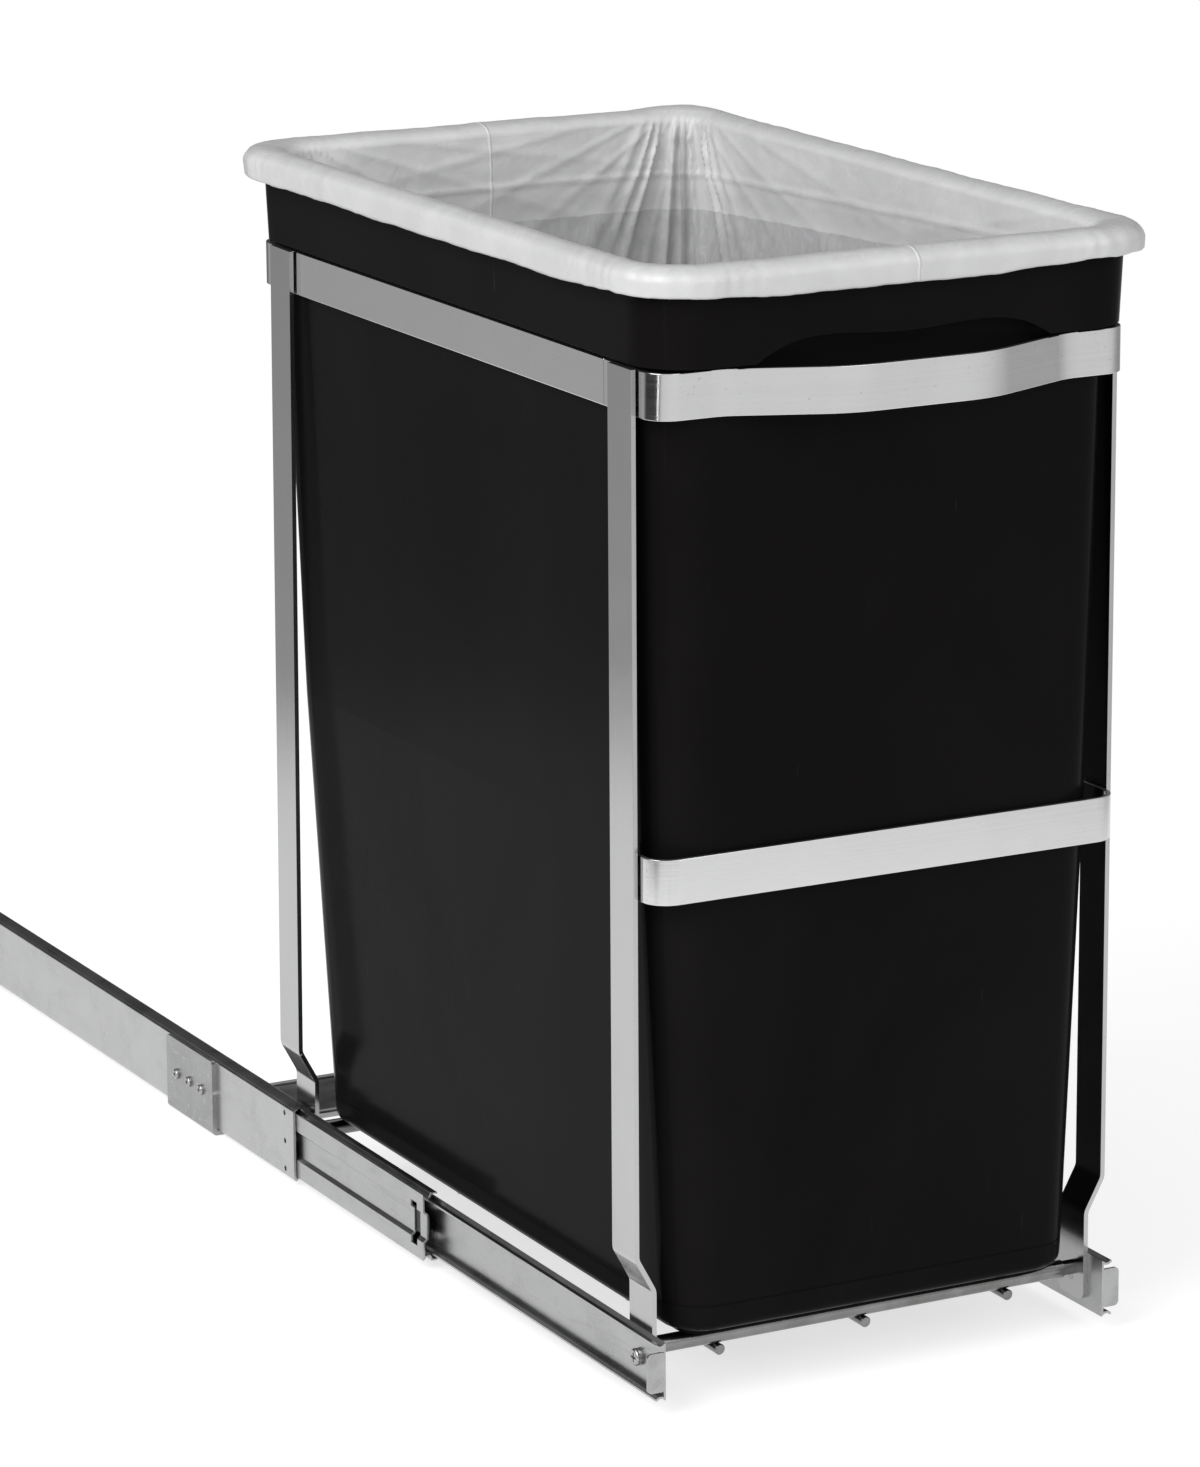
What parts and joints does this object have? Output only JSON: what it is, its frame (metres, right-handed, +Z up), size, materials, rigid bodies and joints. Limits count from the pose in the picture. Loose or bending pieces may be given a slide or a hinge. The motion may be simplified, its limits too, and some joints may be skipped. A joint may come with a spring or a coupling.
{
  "type": "pull-out waste bin",
  "caption": "Under-counter pull-out bin: tapered plastic bucket with film liner in a flat-bar steel frame on floor-mounted ball slides.",
  "frame": {"origin": "centre of the four floor screws, on the cabinet floor", "axes": "+Z up, +X to the right as seen from the front, -Y towards the user, the way the bin pulls out"},
  "size_m": [0.2514, 0.8365, 0.5056],
  "materials": {
    "polished_steel": "satin-polished stainless flat bar and rod",
    "zinc_steel": "zinc-plated, faintly mottled",
    "bright_screw": "bright zinc",
    "ball_steel": "greased bearing steel",
    "black_plastic": "glossy moulded polypropylene",
    "stop_plastic": "moulded buffer",
    "white_film": "thin translucent film"
  },
  "bodies": {
    "cabinet_mount": {"left_cabinet_rail": "zinc_steel", "right_cabinet_rail": "zinc_steel", "floor_strap": "zinc_steel", "left_rear_foot": "zinc_steel", "right_rear_foot": "zinc_steel", "clip_screws": "bright_screw"},
    "left_middle": {"left_middle_rail": "zinc_steel", "left_middle_stop": "stop_plastic"},
    "right_middle": {"right_middle_rail": "zinc_steel", "right_middle_stop": "stop_plastic"},
    "left_outer_cage": {"left_outer_ball_cage": "ball_steel"},
    "right_outer_cage": {"right_outer_ball_cage": "ball_steel"},
    "left_inner_cage": {"left_inner_ball_cage": "ball_steel"},
    "right_inner_cage": {"right_inner_ball_cage": "ball_steel"},
    "carriage": {"left_inner_rail": "zinc_steel", "right_inner_rail": "zinc_steel", "post_screws": "bright_screw", "post_washers": "bright_screw", "front_left_post": "polished_steel", "front_right_post": "polished_steel", "rear_left_post": "polished_steel", "rear_right_post": "polished_steel", "handle_band": "polished_steel", "rear_top_band": "polished_steel", "left_top_band": "polished_steel", "right_top_band": "polished_steel", "guard_band": "polished_steel", "weld_pads": "polished_steel", "front_cross_tube": "polished_steel", "rear_cross_tube": "polished_steel", "tube_plugs": "polished_steel", "left_base_wire": "polished_steel", "centre_base_wire": "polished_steel", "right_base_wire": "polished_steel", "front_cross_wire": "polished_steel", "rear_cross_wire": "polished_steel"},
    "bucket": {"bucket": "black_plastic"},
    "liner": {"liner": "white_film"}
  },
  "joints": [
    {"name": "left_middle_slide", "type": "slide", "parent": "cabinet_mount", "child": "left_middle", "axis": [0, -1, 0], "range_m": [-0.1398, 0.0852]},
    {"name": "carriage_slide", "type": "slide", "parent": "left_middle", "child": "carriage", "axis": [0, -1, 0], "range_m": [-0.2207, 0.0025]},
    {"name": "right_middle_slide", "type": "slide", "parent": "cabinet_mount", "child": "right_middle", "axis": [0, -1, 0], "range_m": [-0.1398, 0.0852]},
    {"name": "left_outer_cage_roll", "type": "slide", "parent": "cabinet_mount", "child": "left_outer_cage", "axis": [0, -1, 0], "range_m": [-0.0699, 0.0426]},
    {"name": "right_outer_cage_roll", "type": "slide", "parent": "cabinet_mount", "child": "right_outer_cage", "axis": [0, -1, 0], "range_m": [-0.0699, 0.0426]},
    {"name": "left_inner_cage_roll", "type": "slide", "parent": "left_middle", "child": "left_inner_cage", "axis": [0, -1, 0], "range_m": [-0.11035, 0.00125]},
    {"name": "right_inner_cage_roll", "type": "slide", "parent": "right_middle", "child": "right_inner_cage", "axis": [0, -1, 0], "range_m": [-0.11035, 0.00125]},
    {"name": "bucket_lift", "type": "slide", "parent": "carriage", "child": "bucket", "axis": [0, 0, 1], "range_m": [0, 0.45]},
    {"name": "liner_lift", "type": "slide", "parent": "bucket", "child": "liner", "axis": [0, 0, 1], "range_m": [0, 0.48]}
  ],
  "couplings": [
    {"joint": "right_middle_slide", "follows": "left_middle_slide", "ratio": 1},
    {"joint": "left_outer_cage_roll", "follows": "left_middle_slide", "ratio": 0.5},
    {"joint": "right_outer_cage_roll", "follows": "left_middle_slide", "ratio": 0.5},
    {"joint": "left_inner_cage_roll", "follows": "carriage_slide", "ratio": 0.5},
    {"joint": "right_inner_cage_roll", "follows": "carriage_slide", "ratio": 0.5}
  ]
}
